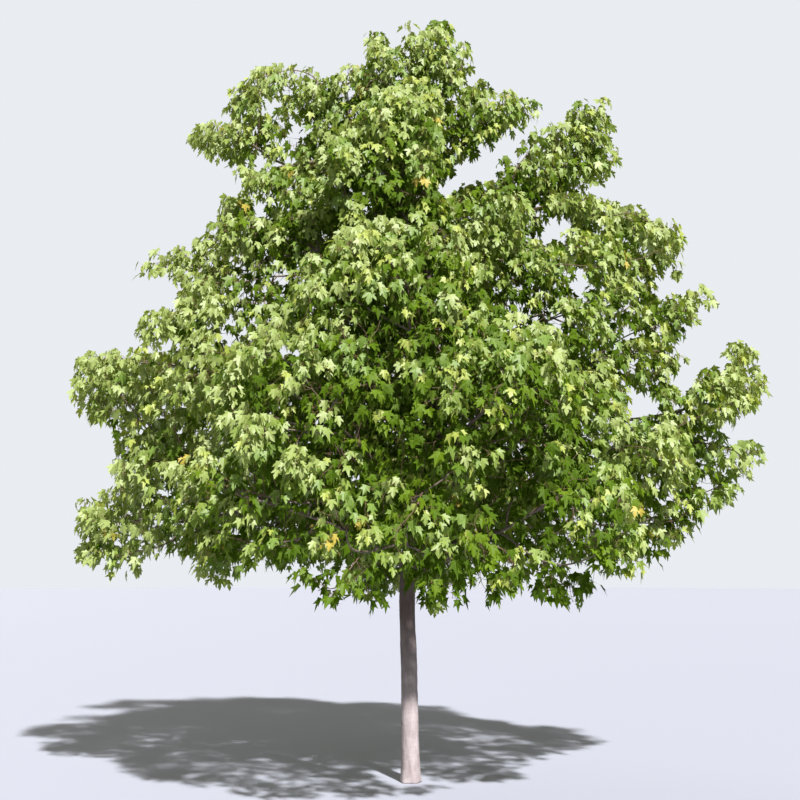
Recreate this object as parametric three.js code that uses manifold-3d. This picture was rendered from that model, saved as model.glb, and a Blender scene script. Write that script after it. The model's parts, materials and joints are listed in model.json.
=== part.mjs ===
// A young maple in full summer leaf, 5.8 m tall: one straight clear trunk that runs on as a leader
// through the crown, boughs that leave it all round, and the masses of foliage that they carry.
// Millimetres, +Z up. The origin is the middle of the flat cut under the trunk, at ground level.
import * as THREE from "three";
import { mergeVertices } from "three/addons/utils/BufferGeometryUtils.js";
import Module from "manifold-3d";

const wasm = await Module();
wasm.setup();

// Driving dimensions.
const FORK_HEIGHT = 1500; // the first boughs leave the trunk here
const LEADER_TOP = 5080; // the leader ends here, inside the topmost mass
const BUTT_RADIUS = 63; // the trunk just above its flare
const FORK_RADIUS = 56; // the trunk just below the first boughs
const LEADER_RADIUS = 42; // just above the fork
const TIP_RADIUS = 9;
const FLARE_RADIUS = 12; // what the root flare adds at the ground
const FLARE_HEIGHT = 130; // the flare fades out over about this height
const TRUNK_SIDES = 10;
const TRUNK_RINGS = 18;
const BOUGH_SIDES = 6;
const BOUGH_RINGS = 3;
const BOUGH_GIRTH = 0.56; // radius of a bough where it leaves the trunk, as a share of the trunk's there
const BOUGH_TAPER = 0.45; // radius at its end, as a share of that
const BOUGH_LIFT = 0.12; // how far a bough bows upwards, as a share of its climb
const BOUGH_ENTRY = 0.8; // a bough ends at this share of its mass's radius from the middle
const UNEVEN = 0.065; // height of each swelling on a mass, as a share of its radius
const SWELLINGS = 5; // how many sets of swellings cross on a mass
const CLEARANCE = 0.5; // gap between neighbouring solids

const LEAVES = new THREE.MeshStandardMaterial({ color: 0x5d8a2c, roughness: 0.75, metalness: 0 });
const BARK = new THREE.MeshStandardMaterial({ color: 0x8f867e, roughness: 0.9, metalness: 0 });

// The trunk's line: it leans a little to the left up to the fork, then the leader swings to the right
// and back. Each row is x, y, height.
const TRUNK_LINE = new THREE.CatmullRomCurve3(
  [
    [0, 0, 0],
    [-6, 0, 550],
    [-16, -2, 1000],
    [-25, -4, 1300],
    [-13, -4, FORK_HEIGHT],
    [150, 20, 1950],
    [205, 30, 2500],
    [195, 20, 3200],
    [100, 0, 4250],
    [135, 0, LEADER_TOP],
  ].map((place) => new THREE.Vector3(...place)),
);

// Each mass of foliage: where its middle is, as bearing (degrees, 0 is to the right and 90 to the back),
// reach from the trunk and height, its half sizes along the bearing, across it and up, how steeply its
// long axis rises outwards (degrees), and the height at which its bough leaves the trunk, where it has
// one of its own. The others are the tips of their neighbours. Each is cut to fit round those before it.
const MASSES = [
  { name: "low_left", at: [184, 1540, 2210], half: [630, 620, 460], rise: 6, bough: 1530 },
  { name: "low_right", at: [2, 1490, 2010], half: [640, 620, 500], rise: 14, bough: 1500 },
  { name: "left_flank", at: [189, 1230, 3130], half: [640, 620, 560], rise: 5, bough: 2250 },
  { name: "right_flank", at: [350, 1130, 3510], half: [640, 600, 560], rise: 12, bough: 2750 },
  { name: "front_upper", at: [264, 1060, 3390], half: [540, 680, 540], rise: 10, bough: 2600 },
  { name: "back_upper", at: [85, 1120, 3720], half: [540, 740, 560], rise: 10, bough: 2450 },
  { name: "right_middle", at: [2, 1560, 2830], half: [600, 600, 480], rise: 10, bough: 2050 },
  { name: "front_middle_left", at: [242, 1470, 2610], half: [600, 660, 480], rise: 10, bough: 1900 },
  { name: "front_middle_right", at: [292, 1400, 2650], half: [600, 660, 500], rise: 10, bough: 2150 },
  { name: "back_middle_left", at: [123, 1540, 2900], half: [620, 680, 520], rise: 10, bough: 1950 },
  { name: "back_middle_right", at: [54, 1560, 2900], half: [620, 680, 520], rise: 10, bough: 2200 },
  { name: "low_front_left", at: [230, 1430, 1960], half: [620, 640, 420], rise: 5, bough: 1560 },
  { name: "low_front_right", at: [312, 1380, 1840], half: [600, 640, 450], rise: 8, bough: 1620 },
  { name: "low_back_left", at: [136, 1600, 2060], half: [640, 660, 480], rise: 6, bough: 1580 },
  { name: "low_back_right", at: [46, 1560, 2040], half: [640, 660, 500], rise: 6, bough: 1640 },
  { name: "low_front", at: [268, 1480, 1710], half: [560, 640, 430], rise: -5, bough: 1600 },
  { name: "low_back", at: [91, 1560, 1880], half: [580, 640, 440], rise: 0, bough: 1660 },
  { name: "upper_front", at: [250, 520, 4350], half: [430, 500, 560], rise: 0, bough: 3600 },
  { name: "upper_back", at: [76, 560, 4430], half: [430, 500, 560], rise: 0, bough: 3700 },
  { name: "left_shoulder", at: [186, 980, 4080], half: [540, 500, 430], rise: -20, bough: 3150 },
  { name: "right_shoulder", at: [3, 1640, 3990], half: [420, 380, 290], rise: -6 },
  { name: "spire_shoulder", at: [6, 980, 4480], half: [430, 340, 310], rise: 30, bough: 3300 },
  { name: "upper_left_bridge", at: [172, 720, 4990], half: [330, 300, 400], rise: 0, bough: 3950 },
  { name: "top", at: [0, 200, 5330], half: [250, 270, 430], rise: 0 },
  { name: "top_left_spire", at: [191, 260, 5250], half: [230, 260, 440], rise: 0 },
  { name: "top_right_arm", at: [355, 610, 4980], half: [370, 260, 230], rise: 6, bough: 4350 },
  { name: "upper_left_knob", at: [178, 1150, 5110], half: [240, 260, 340], rise: 12 },
  { name: "upper_left_tip", at: [180, 1420, 4810], half: [270, 180, 150], rise: 10 },
  { name: "right_spire", at: [2, 1370, 4770], half: [200, 230, 470], rise: -18 },
  { name: "far_left", at: [181, 2110, 2880], half: [430, 400, 340], rise: 15 },
  { name: "left_point", at: [180, 1690, 3660], half: [410, 280, 230], rise: 22 },
  { name: "left_notch", at: [173, 1930, 3400], half: [250, 240, 220], rise: 40 },
  { name: "low_left_tip", at: [181, 2160, 1820], half: [300, 300, 300], rise: -20 },
  { name: "right_point", at: [0, 1900, 3440], half: [340, 300, 240], rise: 22 },
  { name: "low_right_tip", at: [0, 2090, 2190], half: [390, 360, 300], rise: 30 },
  { name: "far_right", at: [358, 2370, 2670], half: [270, 360, 520], rise: 10 },
];

const radians = THREE.MathUtils.degToRad;
const UP = new THREE.Vector3(0, 0, 1);
const BACK = new THREE.Vector3(0, 1, 0);

// A repeatable source of numbers from 0 to 1.
function seeded(seed) {
  let state = seed;
  return () => {
    state = (state * 1664525 + 1013904223) % 4294967296;
    return state / 4294967296;
  };
}

// A closed geometry as a manifold solid: only its positions, with shared vertices merged.
function solidOf(geometry) {
  geometry.deleteAttribute("normal");
  geometry.deleteAttribute("uv");
  const merged = mergeVertices(geometry, 1e-3);
  return new wasm.Manifold(
    new wasm.Mesh({
      numProp: 3,
      vertProperties: merged.attributes.position.array,
      triVerts: new Uint32Array(merged.index.array),
    }),
  );
}

function geometryOf(solid) {
  const mesh = solid.getMesh();
  const geometry = new THREE.BufferGeometry();
  geometry.setAttribute("position", new THREE.BufferAttribute(mesh.vertProperties, 3));
  geometry.setIndex(new THREE.BufferAttribute(mesh.triVerts, 1));
  return geometry;
}

// A solid less its neighbours, as its largest body.
function cutBy(solid, neighbours) {
  const left = neighbours.reduce((rest, other) => rest.subtract(other), solid);
  return left.decompose().sort((a, b) => b.volume() - a.volume())[0];
}

// A round limb along a curve: a closed cylinder bent to the curve, with its radius from radiusAt.
// across is a direction that the curve never runs along, and spacing places the rings on the curve.
function limb(curve, across, radiusAt, sides, rings, spacing) {
  const geometry = new THREE.CylinderGeometry(1, 1, 1, sides, rings);
  const place = geometry.attributes.position;
  const side = new THREE.Vector3();
  const other = new THREE.Vector3();
  for (let i = 0; i < place.count; i++) {
    const along = spacing(place.getY(i) + 0.5);
    const centre = curve.getPointAt(along);
    const heading = curve.getTangentAt(along);
    side.crossVectors(across, heading).normalize();
    other.crossVectors(heading, side);
    const radius = radiusAt(along, centre.z);
    centre.addScaledVector(side, place.getZ(i) * radius);
    centre.addScaledVector(other, place.getX(i) * radius);
    place.setXYZ(i, centre.x, centre.y, centre.z);
  }
  return geometry;
}

function trunkRadius(height) {
  const flare = FLARE_RADIUS * Math.exp(-height / FLARE_HEIGHT);
  const shaft = THREE.MathUtils.mapLinear(height, 0, FORK_HEIGHT, BUTT_RADIUS, FORK_RADIUS);
  const leader = THREE.MathUtils.mapLinear(height, FORK_HEIGHT, LEADER_TOP, LEADER_RADIUS, TIP_RADIUS);
  const pastFork = THREE.MathUtils.smoothstep(height, FORK_HEIGHT - 50, FORK_HEIGHT + 200);
  return flare + THREE.MathUtils.lerp(shaft, leader, pastFork);
}

// The trunk, from its flat cut at the ground to the tip of its leader, with its rings closer together
// towards the root flare.
function trunkSolid(extra = 0) {
  const spacing = (u) => u * (0.35 + 0.65 * u);
  const radiusAt = (along, height) => trunkRadius(height) + extra;
  const geometry = limb(TRUNK_LINE, BACK, radiusAt, TRUNK_SIDES, TRUNK_RINGS, spacing);
  const place = geometry.attributes.position;
  const firstRing = 0.25 * FLARE_HEIGHT; // only the first ring lies this low, and it is cut flat
  for (let i = 0; i < place.count; i++) if (place.getZ(i) < firstRing) place.setZ(i, 0);
  return solidOf(geometry);
}

// The point of the trunk's line at a height, by halving.
function trunkAt(height) {
  let low = 0;
  let high = 1;
  for (let i = 0; i < 30; i++) {
    const middle = (low + high) / 2;
    if (TRUNK_LINE.getPointAt(middle).z < height) low = middle;
    else high = middle;
  }
  return TRUNK_LINE.getPointAt(low);
}

function middleOf(mass) {
  const [bearing, reach, height] = mass.at;
  return new THREE.Vector3(reach, 0, height).applyAxisAngle(UP, radians(bearing));
}

// A mass: a sphere with broad seeded swellings, stretched to its half sizes and turned to its bearing.
// Those with a bough of their own are the larger ones, and have the finer facets.
function massSolid(mass, index, extra = 0) {
  const random = seeded(71 + 13 * index);
  const swellings = Array.from({ length: SWELLINGS }, () => ({
    axis: new THREE.Vector3(random() - 0.5, random() - 0.5, random() - 0.5).normalize(),
    pitch: 3 + 3 * random(),
    phase: 2 * Math.PI * random(),
  }));
  const half = new THREE.Vector3(...mass.half);
  const grown = (2 * extra) / (half.x + half.z);
  const turn = new THREE.Euler(0, -radians(mass.rise), radians(mass.at[0]), "ZYX");
  const middle = middleOf(mass);
  const geometry = mass.bough ? new THREE.DodecahedronGeometry(1, 1) : new THREE.IcosahedronGeometry(1, 1);
  const place = geometry.attributes.position;
  const point = new THREE.Vector3();
  for (let i = 0; i < place.count; i++) {
    point.fromBufferAttribute(place, i).normalize();
    const swell = swellings.reduce((sum, s) => sum + Math.sin(point.dot(s.axis) * s.pitch + s.phase), 0);
    point.multiplyScalar(1 + UNEVEN * swell + grown);
    point.multiply(half).applyEuler(turn).add(middle);
    place.setXYZ(i, point.x, point.y, point.z);
  }
  return solidOf(geometry);
}

// A bough: out of the trunk at its height, climbing and bowed upwards, to just inside its mass.
function boughSolid(mass, extra = 0) {
  const start = trunkAt(mass.bough);
  const middle = middleOf(mass);
  const bow = new THREE.Vector3().lerpVectors(start, middle, 0.45);
  bow.z += BOUGH_LIFT * (middle.z - start.z);
  const inwards = new THREE.Vector3().subVectors(bow, middle);
  const turned = inwards.clone().applyAxisAngle(UP, -radians(mass.at[0]));
  const radii = turned.divide(new THREE.Vector3(...mass.half)).length();
  const end = middle.clone().addScaledVector(inwards, BOUGH_ENTRY / radii);
  const girth = BOUGH_GIRTH * trunkRadius(mass.bough);
  const radiusAt = (along) => girth * THREE.MathUtils.lerp(1, BOUGH_TAPER, along) + extra;
  const curve = new THREE.QuadraticBezierCurve3(start, bow, end);
  return solidOf(limb(curve, UP, radiusAt, BOUGH_SIDES, BOUGH_RINGS, (u) => u));
}

const tree = new THREE.Group();

function add(name, solid, material) {
  const mesh = new THREE.Mesh(geometryOf(solid), material);
  mesh.name = name;
  tree.add(mesh);
}

// What is already in place, each grown by the clearance, for the next solid to be cut by.
const inPlace = [trunkSolid(CLEARANCE)];
add("trunk", trunkSolid(), BARK);
for (const mass of MASSES.filter((each) => each.bough)) {
  add("bough_" + mass.name, cutBy(boughSolid(mass), inPlace), BARK);
  inPlace.push(boughSolid(mass, CLEARANCE));
}
MASSES.forEach((mass, index) => {
  add("leaves_" + mass.name, cutBy(massSolid(mass, index), inPlace), LEAVES);
  inPlace.push(massSolid(mass, index, CLEARANCE));
});

export default tree;
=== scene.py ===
"""A young maple in full early-summer leaf: bark over the trunk and boughs, and the limbs, twigs, leaf
stalks and leaves that grow on from them and fill the masses of foliage.

Metres throughout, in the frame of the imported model: +Z up, origin in the flat cut under the trunk.
"""

import json
import math

import bpy
import numpy as np
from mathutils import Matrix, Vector
from mathutils.bvhtree import BVHTree

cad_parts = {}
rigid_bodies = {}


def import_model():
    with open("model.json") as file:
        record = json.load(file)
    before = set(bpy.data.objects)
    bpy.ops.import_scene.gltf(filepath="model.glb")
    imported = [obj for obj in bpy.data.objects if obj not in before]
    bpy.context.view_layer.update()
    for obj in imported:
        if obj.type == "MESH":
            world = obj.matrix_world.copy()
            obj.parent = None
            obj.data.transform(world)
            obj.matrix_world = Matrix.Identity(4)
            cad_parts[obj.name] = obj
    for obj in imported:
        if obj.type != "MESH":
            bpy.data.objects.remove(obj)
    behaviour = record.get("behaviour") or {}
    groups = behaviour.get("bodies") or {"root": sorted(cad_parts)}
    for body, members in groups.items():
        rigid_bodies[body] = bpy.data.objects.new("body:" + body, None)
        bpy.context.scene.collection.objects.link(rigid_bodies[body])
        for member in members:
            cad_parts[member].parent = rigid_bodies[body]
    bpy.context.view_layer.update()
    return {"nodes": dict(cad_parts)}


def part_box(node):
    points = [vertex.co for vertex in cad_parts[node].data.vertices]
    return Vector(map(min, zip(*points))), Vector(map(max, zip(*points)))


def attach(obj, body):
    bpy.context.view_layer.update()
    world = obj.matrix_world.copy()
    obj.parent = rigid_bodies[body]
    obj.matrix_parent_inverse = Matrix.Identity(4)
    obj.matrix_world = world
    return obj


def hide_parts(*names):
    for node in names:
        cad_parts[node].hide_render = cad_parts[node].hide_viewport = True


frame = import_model()

SEED = 20

# The trunk and the boughs, read from their solids by cutting them across.
TRUNK_CUTS = 64
TRUNK_CUT_ENDS = (0.002, 0.01)  # the first and last cut are this far inside the ends
BOUGH_CUTS = 9
BOUGH_CUT_ENDS = (0.03, 0.012)

# The crown's room.
CELL = 0.05  # edge of one cell of the crown's room
CELLS_AROUND = 3  # empty cells round the masses
CLEAR_BELOW = 0.01  # each column is measured from this far under a mass
NEXT_HIT = 1e-4  # and from this far past the last surface
SKIN_SHARE = 0.4  # share of the outermost cells in which a shoot may end
SPRIG_SHARE = 0.009  # share of the cells just outside in which one does
SPRIG_REACH = 2  # how many cells outside
SHUT_IN = (0.62, 0.38)  # hollows less open than this have shoots too: at the trunk, and at their reach
HOLLOW_REACH = 2.0
CLEFT_REACH = 2.3  # clefts with foliage before or behind them have shoots too, as far out as this
CLEFT_OPEN = 0.56  # where they are less open than this
BACKED_DEPTH = 1.6  # how far before or behind a cleft that foliage may be
HOLLOW_HEIGHTS = (1.62, 5.0)
HOLLOW_TRIES = 36000
CLEAR_OF_TRUNK = 0.1
LIGHT_ABOVE = 2.0  # weight of the light from straight above
LIGHT_WAYS = ((50, 6, 1.6), (12, 8, 1.0), (-30, 4, 0.4))  # the rest: degrees up, how many, weight
OPEN_STEP = 0.08  # stride of the walk outwards that tells how open a place is
OPEN_STRIDES = 26
LEAF_DEPTH = 0.42  # light falls to a third over this depth of foliage

# Growth.
STEP = 0.055  # length of one step of growth
PULL = 0.85  # a spot draws growth from this far
REACH = 0.13  # growth stops this far from a spot, and a leafy shoot goes the rest of the way
COVER = 0.13  # outside the masses branches grow only this near a spot, so none crosses open air
GROWTH_STEPS = 90
MOST_PLACES = 60000
MOST_FORKS = 3
RISE = 0.16  # how strongly growth turns upwards
KEEP_ON = 0.9  # how strongly it keeps its heading
WANDER = 0.16
SIBLINGS_APART = 0.6  # branches from one place start at least this share of a step apart
BOUGH_STARTS = 7  # growth starts from this many of each bough's last places
LEADER_FROM = 4.1  # and from the leader over this height, this far apart
LEADER_GAP = 0.09
SPOT_TRIES = 62000  # places tried for the shoots' ends
SPOT_GAP_OPEN = 0.099  # distance between shoots at the outside of the crown
SPOT_GAP_DEEP = 0.25  # and deep inside it
LIGHT_RANGE = (0.1, 0.75)  # deep and outside are where these shares of the places are darker
CLUMP_SWING = (-0.4, 1.4)  # the clumps' ripples are cut off here
DEEP_EVENNESS = 0.6  # how much weaker the clumps are deep inside
CLUMPING = 0.34  # how much further apart shoots are between clumps
CLUMPED_UNDER = 5.0  # in the last metre under this height the clumps fade, to this share
TOP_CLUMPING = 0.2
RIPPLE_WAVES = 9
RIPPLE_LENGTHS = (0.22, 0.46)
THIN_TOP = (3.7, 4.3)  # from the first height to the second the crown gets thin
THIN_SIDES = (1.6, 2.1)  # and its sides between these distances
THIN_CLOSER = 0.18  # how much closer the shoots are there
VALLEY_SHADE = 0.4  # how much darker the tints are between clumps
TWIG_TIP = 0.0013  # radius of a twig's tip
GIRTH_POWER = 2.35  # limbs add up as their radii to this power
STEP_GIRTH = 0.00006  # what each step backwards adds to a radius
LIMB_RADIUS = 0.0045  # thicker than this is a limb, thinner is a twig
KINK_PASSES = 2  # kinks are taken out this often, each time by this share
KINK_SHARE = 0.5
COLLAR = 1.12  # how much thicker a branch is where it leaves its parent
SHOOT_SHARES = (0.5, 1.0)  # places along a leafy shoot
SHOOT_KEEP_ON = 0.8  # how a leafy shoot's tip heads: on, upwards, and astray
SHOOT_RISE = 0.45
SHOOT_WANDER = 0.2
SHOOT_BEND = 0.45  # how far back from the tip it bends, as a share of its length

# Leaves. Each shoot has its pairs at these shares of its length, from its tip back.
PAIR_SHARES = (1.0, 0.84, 0.6, 0.3)
PAIR_SIZES = (0.72, 0.95, 1.08, 1.0)
PAIR_STALKS = (0.5, 0.85, 1.1, 1.2)
LEAF_LENGTH = 0.071
STALK_LENGTH = 0.047
STALK_LENGTHS = (0.75, 1.3)  # the range of a stalk's length, as a share of that
PAIR_TURN_SPREAD = 0.3
STALK_TURN_SPREAD = 0.2
STALK_HEADING = (0.35, 0.4, 0.15)  # how a stalk heads along its shoot, upwards, and astray
DROOP = 58  # degrees that a blade hangs below level
DROOP_SPREAD = 16
DROOP_RANGE = (-5, 86)
NEARLY_UP = (0.02, 0.01, 1.0)  # no shoot points exactly this way
OUTWARD_FROM = (0.12, 0, 0)  # blades turn away from here, the middle of the crown
OUTWARD = (0.8, 0.4, 0.22)  # how a blade heads as its stalk does, away from the middle, and astray
ROLL_SPREAD = 0.42
SIZE_SPREAD = 0.12
WIDTH = (0.94, 0.1)  # a blade's width as a share of its length's scale, and how much that varies
LEAF_SHAPES = (  # fold, droop, wave, twist
    (0.20, 0.10, 0.015, 0.10),
    (0.35, 0.22, -0.020, -0.15),
    (0.10, 0.28, 0.025, 0.05),
    (0.45, 0.12, -0.015, 0.20),
    (0.28, 0.35, 0.020, -0.10),
    (0.75, 0.30, 0.010, 0.05),  # half folded, as the youngest leaves are
)
FOLDED_SHARE = 0.6  # share of the end leaves that are half folded
PLAIN_SHARE = 0.55  # this share of the sprays, the deepest, has leaves without teeth, and a pair less
INNER_SIZE = 1.18  # how much larger those leaves are
CUPPING = 0.9  # how much the lobes droop, as a share of the tip's droop
WAVE_ALONG = 5.0
WAVE_ACROSS = 12.0
MAP_SIZE = 0.96  # the share of the map that a leaf fills, with an edge round it
MAP_EDGE = 0.02
STALK_RADIUS = 0.0014
STALK_TURN_AXIS = (0.3, 0.2, 1.0)  # turns each stalk's three sides in the same way
LEAF_ROUGHNESS = 0.46
LET_THROUGH = 0.25  # share of the light that a blade lets through
THROUGH_TINT = (1.5, 1.5, 0.35)  # what its colour is multiplied by there
UNDERSIDE = (0.19, 0.27, 0.04)
UNDERSIDE_SHARE = 0.4
SIDE_RIBS = ((0.157, 0.774, -0.634), (0.12, 0.985, 0.171))  # on the leaf's map: foot, rise, slant
RIB_EDGES = (0.004, 0.016)  # a rib fades out between these distances
VEIN_ROWS = 11.0
VEIN_SLANT = -0.8
VEIN_EDGES = (0.02, 0.14)
RIB_COLOUR = (0.45, 0.5, 0.2)
RIB_SHARE = 0.25  # how much of that colour a rib has, and how much lighter it is besides
RIB_LIFT = 1.25
RIB_SHOW = 0.6
RIB_SINK = -0.7
VEIN_SHOW = 0.12
MOTTLE_DARK = 0.8
TINTS = (  # name, share of the sprays, colour of the upper side, gloss; from painted shade to painted light, the lightest also paler as painted sheen
    ("leaves_shade", 0.15, (66, 93, 5), 0.1),
    ("leaves_deep", 0.17, (76, 104, 6), 0.15),
    ("leaves_mid", 0.18, (90, 117, 6), 0.25),
    ("leaves_cool", 0.12, (106, 135, 44), 0.8),
    ("leaves_fresh", 0.20, (124, 146, 56), 0.95),
    ("leaves_bright", 0.17, (145, 162, 87), 1.0),
)
YOUNG_TINTS = (  # the same for the youngest pairs
    ("leaves_lime", 0, (157, 170, 76), 0.8),
    ("leaves_flush", 0, (180, 164, 70), 0.5),
)
CROWN_HALF_WIDTH = 2.4
PAINTED_SHADE_DEEPEST_AT = 0.3  # across, where the tints' painted shade is deepest
SIDE_PAINTED_LIGHT = 0.66  # how much painted light brightens the tints at the crown's two sides
SIDE_LEVEL = 0.25
TINT_SPREAD = 0.22
YOUNG_SHARE = 0.21  # share of the sprays that end in young leaves
YOUNG_FROM = 0.3  # the darkest share of the sprays has none
FLUSH_SHARE = 0.008
TUFTS = (  # tufts that stand out from the masses: across, away from the front, height, radius
    (0.22, -0.90, 1.42, 0.20),
    (0.47, -0.80, 1.48, 0.18),
    (0.05, -1.20, 1.46, 0.15),
    (0.65, -0.80, 1.50, 0.10),
    (-1.69, -0.20, 1.80, 0.18),
    (-1.49, -0.40, 1.70, 0.14),
    (-2.30, 0.00, 1.74, 0.12),
    (1.11, 0.10, 4.86, 0.12),
    (1.36, 0.10, 4.25, 0.15),
    (1.59, 0.10, 4.27, 0.10),
    (1.33, 0.05, 5.04, 0.10),
    (1.50, 0.05, 4.70, 0.12),
    (0.52, 0.00, 5.21, 0.10),
    (-0.25, 0.00, 5.64, 0.08),
    (0.25, 0.00, 5.76, 0.06),
    (0.02, 0.00, 5.60, 0.07),
    (0.17, 0.00, 4.94, 0.12),
    (-0.94, 0.00, 5.32, 0.08),
    (-0.62, 0.00, 5.28, 0.08),
    (-1.57, 0.00, 4.84, 0.12),
    (-1.30, 0.00, 5.12, 0.12),
    (-1.05, 0.00, 4.82, 0.12),
    (-0.85, 0.00, 4.54, 0.12),
    (-1.53, 0.00, 3.92, 0.15),
    (-1.76, 0.00, 3.86, 0.10),
    (-1.57, -0.30, 2.78, 0.22),
    (2.48, -0.05, 3.12, 0.10),
    (-2.03, 0.15, 3.42, 0.10),
    (2.02, -0.10, 2.44, 0.14),
    (1.94, 0.00, 1.88, 0.12),
    (-2.12, 0.00, 2.44, 0.10),
    (1.06, -0.80, 1.42, 0.12),
    (0.90, -0.80, 1.46, 0.10),
    (-0.71, 0.10, 5.12, 0.12),
    (0.64, -0.10, 3.99, 0.12),
    (1.30, -0.75, 2.60, 0.34),
    (1.25, 0.80, 3.00, 0.34),
    (1.75, 0.62, 2.40, 0.28),
    (1.75, -0.58, 2.30, 0.26),
    (-1.40, -0.78, 2.85, 0.30),
    (-1.35, 0.75, 3.00, 0.34),
    (-1.85, 0.55, 2.45, 0.28),
    (0.62, -0.55, 4.00, 0.28),
    (-0.62, 0.55, 4.25, 0.30),
    (0.62, 0.60, 4.20, 0.30),
    (0.05, -0.42, 4.95, 0.20),
    (-0.95, -0.32, 4.05, 0.28),
    (-1.00, 0.28, 4.10, 0.26),
    (0.05, 0.40, 4.95, 0.24),
    (-0.30, 0.30, 1.52, 0.20),
    (0.25, 0.35, 1.56, 0.18),
    (-0.05, 0.45, 1.50, 0.18),
    (1.40, -0.05, 4.28, 0.12),
    (1.22, -0.05, 4.30, 0.10),
    (0.30, -1.70, 2.24, 0.16),
    (0.55, -1.72, 2.16, 0.14),
    (0.74, -1.62, 2.30, 0.15),
    (-0.94, -1.76, 2.34, 0.16),
    (-0.66, -1.80, 2.14, 0.12),
    (1.22, -0.82, 3.24, 0.20),
    (-0.50, -0.84, 4.38, 0.15),
    (-1.34, -0.42, 3.94, 0.14),
    (-1.80, -0.66, 3.22, 0.14),
    (-1.86, -0.42, 2.86, 0.14),
    (-1.25, -1.16, 1.60, 0.16),
    (0.56, -1.64, 1.56, 0.14),
    (1.90, -0.30, 3.94, 0.12),
    (2.16, -0.26, 2.76, 0.14),
    (0.95, 0.00, 4.78, 0.08),
    (0.46, -0.80, 1.38, 0.12),
    (0.30, 0.00, 4.90, 0.08),
    (-2.36, 0.00, 1.68, 0.10),
    (1.27, 0.00, 4.94, 0.07),
    (0.38, 0.00, 5.58, 0.06),
    (0.31, 0.00, 5.70, 0.06),
)
TUFT_TRIES = 160
POCKETS = (  # hollows in the crown's face, with no shoots: across, away from the front, height, radius
    (0.30, -1.66, 3.10, 0.16),
    (0.58, -1.60, 3.08, 0.14),
    (0.42, -1.90, 2.72, 0.14),
    (-0.44, -1.86, 2.80, 0.15),
    (-0.20, -1.50, 3.62, 0.16),
    (0.06, -0.90, 4.62, 0.13),
    (-0.90, -1.78, 2.80, 0.12),
    (0.96, -1.74, 2.62, 0.14),
    (1.04, -1.52, 2.10, 0.14),
    (-1.50, -1.25, 2.10, 0.14),
    (0.45, -1.45, 3.28, 0.14),
    (0.80, -1.45, 2.95, 0.12),
)
SKY_GAPS = (  # gaps between the masses, seen from the front: across, height, half width, half height
    (0.29, 4.45, 0.10, 0.12),
    (0.44, 4.58, 0.16, 0.13),
    (0.61, 4.71, 0.11, 0.09),
    (0.78, 4.84, 0.09, 0.08),
    (0.63, 4.55, 0.10, 0.08),
    (1.14, 5.06, 0.14, 0.10),
    (-1.90, 3.60, 0.16, 0.20),
    (-1.86, 3.26, 0.10, 0.12),
    (1.70, 2.77, 0.19, 0.13),
    (1.41, 2.57, 0.16, 0.12),
    (2.32, 3.10, 0.14, 0.11),
    (2.05, 2.94, 0.16, 0.09),
    (2.44, 2.56, 0.14, 0.11),
    (2.62, 2.62, 0.20, 0.13),
    (-0.45, 5.56, 0.14, 0.12),
    (-0.85, 4.93, 0.12, 0.11),
    (-1.07, 5.12, 0.12, 0.11),
    (-1.03, 4.80, 0.14, 0.12),
    (-1.52, 5.02, 0.08, 0.15),
    (-1.38, 4.46, 0.13, 0.09),
    (-1.55, 4.24, 0.09, 0.09),
    (-1.10, 4.34, 0.15, 0.11),
    (-0.92, 3.18, 0.15, 0.07),
    (1.30, 3.68, 0.11, 0.10),
    (1.09, 4.10, 0.12, 0.12),
    (1.50, 4.42, 0.13, 0.13),
    (1.64, 5.02, 0.12, 0.20),
    (2.10, 4.10, 0.12, 0.12),
    (2.74, 2.68, 0.10, 0.25),
    (-2.18, 3.25, 0.22, 0.10),
    (-2.32, 2.56, 0.13, 0.09),
    (2.00, 1.63, 0.12, 0.10),
    (0.14, 5.82, 0.09, 0.08),
    (1.66, 4.02, 0.07, 0.07),
    (1.97, 3.66, 0.10, 0.07),
    (-2.36, 2.12, 0.11, 0.11),
    (2.26, 1.92, 0.11, 0.09),
    (0.15, 3.77, 0.06, 0.06),
)
TRUNK_WINDOW = (-0.02, 1.31, 0.12, 0.24)  # the same in front of the trunk, under its fork
SUN_WAY_WIDTH = 0.2  # foliage keeps this far out of the sun's way to the foot of the trunk
SUNLIT_FOOT = (-0.2, 0.6)  # the heights there that the sun reaches

# Bark.
DECAGON = 1.02  # from the mean radius of the trunk's ten-sided cuts to its own
HEXAGON = 1.06  # the same for the boughs' six-sided ones
TRUNK_SIDES = 64
BOUGH_SIDES = 20
CLEAR_TRUNK = 1.95  # up to this height the trunk's rings are close together
RING_GAPS = (0.009, 0.02)
BOUGH_RING_GAP = 0.014
SMOOTHINGS = 10
GRAIN_SHIFT = (3.1, -1.7)  # each bough's grain is this far from the last one's
CROTCH = 0.05  # two limbs blend where they are closer than this
BLEND_STEPS = 4
MOST_SWELL = 0.016  # the most that a skin swells out to blend
FLARE_LOBES = (0.006, 5, 0.6)  # how far the trunk's foot stands out, in how many lobes, turned how far
FLARE_FADE = 0.09
WAVE_PITCH = 2.5
TRUNK_RELIEF = (  # height, ridges or swellings, seed, waves, reach across and along the grain
    (0.0014, False, 1, 16, 0.09, 0.22),
    (0.0003, True, 2, 12, 0.012, 0.10),
    (0.0005, False, 5, 18, 0.05, 0.008),
)
BOUGH_RELIEF = (
    (0.0009, False, 30, 14, 0.05, 0.15),
    (0.0004, True, 60, 12, 0.008, 0.09),
)
OLD_SCARS = (  # height, bearing in degrees, size
    (0.82, 250, 0.022),
    (1.12, 300, 0.02),
    (1.3, 100, 0.024),
    (0.6, 30, 0.018),
)
SCAR_STRETCH = (1, 1, 0.8)
SCAR_RIM = 0.004
SCAR_PIT = 0.0045
SCAR_PIT_SIZE = 0.45
PALE_TO_SHADE_FADE = (0.5, 1.2)  # the bark is palest under the first height, and has its full painted shade over the second
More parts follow.
